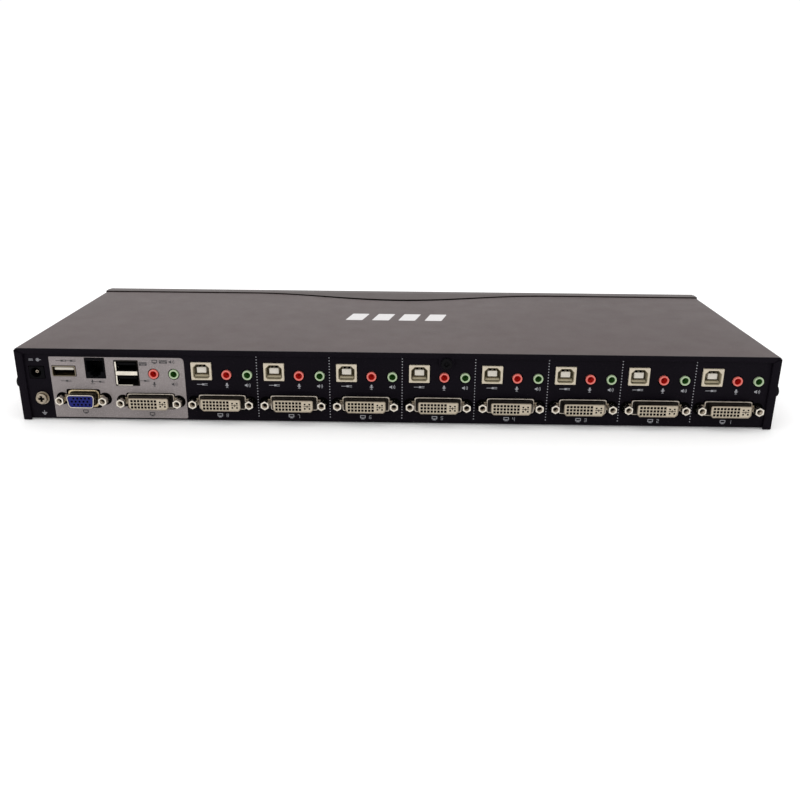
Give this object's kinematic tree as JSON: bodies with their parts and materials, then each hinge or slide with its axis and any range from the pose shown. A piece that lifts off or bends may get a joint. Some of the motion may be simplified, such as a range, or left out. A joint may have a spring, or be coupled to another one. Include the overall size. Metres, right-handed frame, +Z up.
{
  "type": "kvm switch",
  "caption": "Low rack-width KVM switch: folded steel case with a row of DVI, USB and audio computer ports behind, console ports at one end, and sprung selection buttons in front.",
  "frame": {"origin": "middle of the footprint's bounding box, on the surface that the case stands on", "axes": "+X along the case's width, to the right of someone facing the buttons; +Y from the buttons to the connector panel; +Z up"},
  "size_m": [0.4412, 0.1666, 0.0444],
  "materials": {
    "black_paint": "fine-textured near-black powder coat",
    "grey_paint": "fine metallic dark warm grey paint, satin",
    "bezel_plastic": "moulded, painted to match the cover",
    "circuit_board": "green solder mask",
    "black_plastic": "moulded, satin",
    "nickel": "nickel plate, slightly warm",
    "black_steel": "black zinc screw",
    "blue_plastic": "moulded insulator",
    "cream_plastic": "moulded insulator",
    "ivory_plastic": "moulded housing",
    "pink_plastic": "moulded collar",
    "green_plastic": "moulded collar",
    "button_plastic": "moulded cap",
    "silver_paint": "screened silver-grey field round the console ports",
    "white_print": "screened marks"
  },
  "bodies": {
    "case": {"base_chassis": "black_paint", "top_cover": "grey_paint", "front_bezel": "bezel_plastic", "video_board": "circuit_board", "usb_audio_board": "circuit_board", "button_board": "circuit_board", "dvi_port_1": "cream_plastic", "dvi_port_2": "cream_plastic", "dvi_port_3": "cream_plastic", "dvi_port_4": "cream_plastic", "dvi_port_5": "cream_plastic", "dvi_port_6": "cream_plastic", "dvi_port_7": "cream_plastic", "dvi_port_8": "cream_plastic", "usb_b_port_1": "ivory_plastic", "usb_b_port_2": "ivory_plastic", "usb_b_port_3": "ivory_plastic", "usb_b_port_4": "ivory_plastic", "usb_b_port_5": "ivory_plastic", "usb_b_port_6": "ivory_plastic", "usb_b_port_7": "ivory_plastic", "usb_b_port_8": "ivory_plastic", "mic_jack_1": "pink_plastic", "mic_jack_2": "pink_plastic", "mic_jack_3": "pink_plastic", "mic_jack_4": "pink_plastic", "mic_jack_5": "pink_plastic", "mic_jack_6": "pink_plastic", "mic_jack_7": "pink_plastic", "mic_jack_8": "pink_plastic", "speaker_jack_1": "green_plastic", "speaker_jack_2": "green_plastic", "speaker_jack_3": "green_plastic", "speaker_jack_4": "green_plastic", "speaker_jack_5": "green_plastic", "speaker_jack_6": "green_plastic", "speaker_jack_7": "green_plastic", "speaker_jack_8": "green_plastic", "console_dvi_port": "cream_plastic", "console_vga_port": "blue_plastic", "console_usb_stack": "black_plastic", "hub_usb_port": "nickel", "upgrade_port": "black_plastic", "console_mic_jack": "pink_plastic", "console_speaker_jack": "green_plastic", "dc_power_jack": "black_plastic", "ground_screw": "nickel", "rear_cover_screw": "black_steel", "side_screw_left": "black_steel", "side_screw_right": "black_steel"},
    "port_button_1": {"port_button_1": "button_plastic"},
    "port_button_2": {"port_button_2": "button_plastic"},
    "port_button_3": {"port_button_3": "button_plastic"},
    "port_button_4": {"port_button_4": "button_plastic"},
    "port_button_5": {"port_button_5": "button_plastic"},
    "port_button_6": {"port_button_6": "button_plastic"},
    "port_button_7": {"port_button_7": "button_plastic"},
    "port_button_8": {"port_button_8": "button_plastic"},
    "mode_button": {"mode_button": "button_plastic"},
    "reset_button": {"reset_button": "button_plastic"}
  },
  "joints": [
    {"name": "port_button_1_press", "type": "slide", "parent": "case", "child": "port_button_1", "axis": [0, 1, 0], "range_m": [0, 0.001], "stiffness_N_per_m": 400, "springref_m": -0.0005},
    {"name": "port_button_2_press", "type": "slide", "parent": "case", "child": "port_button_2", "axis": [0, 1, 0], "range_m": [0, 0.001], "stiffness_N_per_m": 400, "springref_m": -0.0005},
    {"name": "port_button_3_press", "type": "slide", "parent": "case", "child": "port_button_3", "axis": [0, 1, 0], "range_m": [0, 0.001], "stiffness_N_per_m": 400, "springref_m": -0.0005},
    {"name": "port_button_4_press", "type": "slide", "parent": "case", "child": "port_button_4", "axis": [0, 1, 0], "range_m": [0, 0.001], "stiffness_N_per_m": 400, "springref_m": -0.0005},
    {"name": "port_button_5_press", "type": "slide", "parent": "case", "child": "port_button_5", "axis": [0, 1, 0], "range_m": [0, 0.001], "stiffness_N_per_m": 400, "springref_m": -0.0005},
    {"name": "port_button_6_press", "type": "slide", "parent": "case", "child": "port_button_6", "axis": [0, 1, 0], "range_m": [0, 0.001], "stiffness_N_per_m": 400, "springref_m": -0.0005},
    {"name": "port_button_7_press", "type": "slide", "parent": "case", "child": "port_button_7", "axis": [0, 1, 0], "range_m": [0, 0.001], "stiffness_N_per_m": 400, "springref_m": -0.0005},
    {"name": "port_button_8_press", "type": "slide", "parent": "case", "child": "port_button_8", "axis": [0, 1, 0], "range_m": [0, 0.001], "stiffness_N_per_m": 400, "springref_m": -0.0005},
    {"name": "mode_button_press", "type": "slide", "parent": "case", "child": "mode_button", "axis": [0, 1, 0], "range_m": [0, 0.001], "stiffness_N_per_m": 400, "springref_m": -0.0005},
    {"name": "reset_button_press", "type": "slide", "parent": "case", "child": "reset_button", "axis": [0, 1, 0], "range_m": [0, 0.001], "stiffness_N_per_m": 400, "springref_m": -0.0005}
  ]
}
